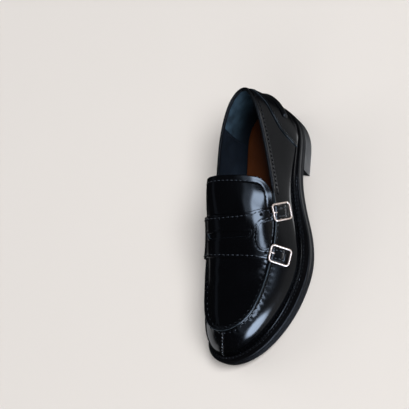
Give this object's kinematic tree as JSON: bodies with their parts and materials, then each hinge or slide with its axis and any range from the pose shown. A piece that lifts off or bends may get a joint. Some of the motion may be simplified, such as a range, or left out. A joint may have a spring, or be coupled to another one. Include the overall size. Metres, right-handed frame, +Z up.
{
  "type": "loafer",
  "caption": "Low slip-on leather shoe with a raised apron seam, a slotted saddle strap held by side buckles, a welted sole and a stacked heel.",
  "frame": {"origin": "middle of the bounding box, on the floor the shoe stands on", "axes": "+Z up, -Y towards the toe, +X towards the outer (lateral) side of this left shoe"},
  "size_m": [0.1094, 0.2724, 0.0914],
  "materials": {
    "black_leather": "polished black calf, high gloss",
    "sock_leather": "brown leather sock over the insole",
    "sole_rubber": "black rubber, satin edge",
    "heel_stack": "black, satin",
    "rose_nickel": "pale rose nickel plate, polished"
  },
  "bodies": {
    "root": {"upper": "black_leather", "tongue": "black_leather", "saddle_strap": "black_leather", "heel_counter": "black_leather", "heel_tab": "black_leather", "buckle_frame_upper": "rose_nickel", "buckle_frame_lower": "rose_nickel", "buckle_prong_upper": "rose_nickel", "buckle_prong_lower": "rose_nickel", "insole": "sock_leather", "outsole": "sole_rubber", "welt": "sole_rubber", "heel_block": "heel_stack", "heel_top_piece": "heel_stack"}
  },
  "joints": []
}
